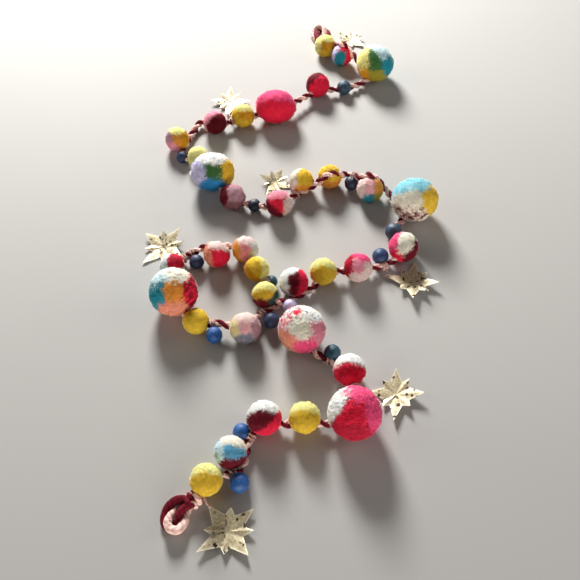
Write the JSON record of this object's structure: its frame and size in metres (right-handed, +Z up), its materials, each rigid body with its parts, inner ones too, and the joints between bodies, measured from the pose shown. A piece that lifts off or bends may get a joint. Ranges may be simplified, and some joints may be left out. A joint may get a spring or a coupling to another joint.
{
  "type": "pom pom star garland",
  "caption": "Yarn garland with large and small round poms, felt balls and folded metal stars on a twisted cord with a hanging loop at each end, laid in zigzag rows.",
  "frame": {"origin": "middle of the laid garland's outline, on the surface that it lies on", "axes": "+Z up from the surface, +Y along the garland from its near end to its far end, +X across the rows to the right"},
  "size_m": [0.3441, 0.7569, 0.0516],
  "materials": {
    "yellow": "cut wool yarn, pale to golden yellow",
    "crimson": "cut wool yarn, crimson with pink patches",
    "pink": "cut wool yarn, hot pink to crimson",
    "maroon": "cut wool yarn, dark maroon with pale patches",
    "blush": "cut wool yarn, pale pink with other patches",
    "cream": "cut wool yarn, cream with other patches",
    "aqua": "cut wool yarn, patches of aqua, blue, yellow and cream",
    "felt": "matte wool felt, blue to navy",
    "brass": "thin pale brass with a soft shine and dark speckles",
    "cord": "twisted yarn, one maroon and one pale pink ply"
  },
  "bodies": {
    "root": {"cord": "cord", "big_pom_1": "aqua", "big_pom_2": "pink", "big_pom_3": "aqua", "big_pom_4": "cream", "big_pom_5": "aqua", "big_pom_6": "cream", "big_pom_7": "pink", "pom_01": "yellow", "pom_02": "aqua", "pom_03": "crimson", "pom_04": "yellow", "pom_05": "maroon", "pom_06": "yellow", "pom_07": "yellow", "pom_08": "maroon", "pom_09": "crimson", "pom_10": "yellow", "pom_11": "yellow", "pom_12": "blush", "pom_13": "cream", "pom_14": "crimson", "pom_15": "yellow", "pom_16": "maroon", "pom_17": "blush", "pom_18": "yellow", "pom_19": "maroon", "pom_20": "crimson", "pom_21": "blush", "pom_22": "yellow", "pom_23": "yellow", "pom_24": "crimson", "pom_25": "yellow", "pom_26": "maroon", "pom_27": "cream", "pom_28": "yellow", "felt_ball_01": "felt", "felt_ball_02": "felt", "felt_ball_03": "felt", "felt_ball_04": "felt", "felt_ball_05": "felt", "felt_ball_06": "felt", "felt_ball_07": "felt", "felt_ball_08": "felt", "felt_ball_09": "felt", "felt_ball_10": "felt", "felt_ball_11": "felt", "felt_ball_12": "felt", "felt_ball_13": "felt", "felt_ball_14": "felt", "far_loop": "cord", "near_loop": "cord", "star_1": "brass", "star_2": "brass", "star_3": "brass", "star_4": "brass", "star_5": "brass", "star_6": "brass", "star_7": "brass"}
  },
  "joints": []
}
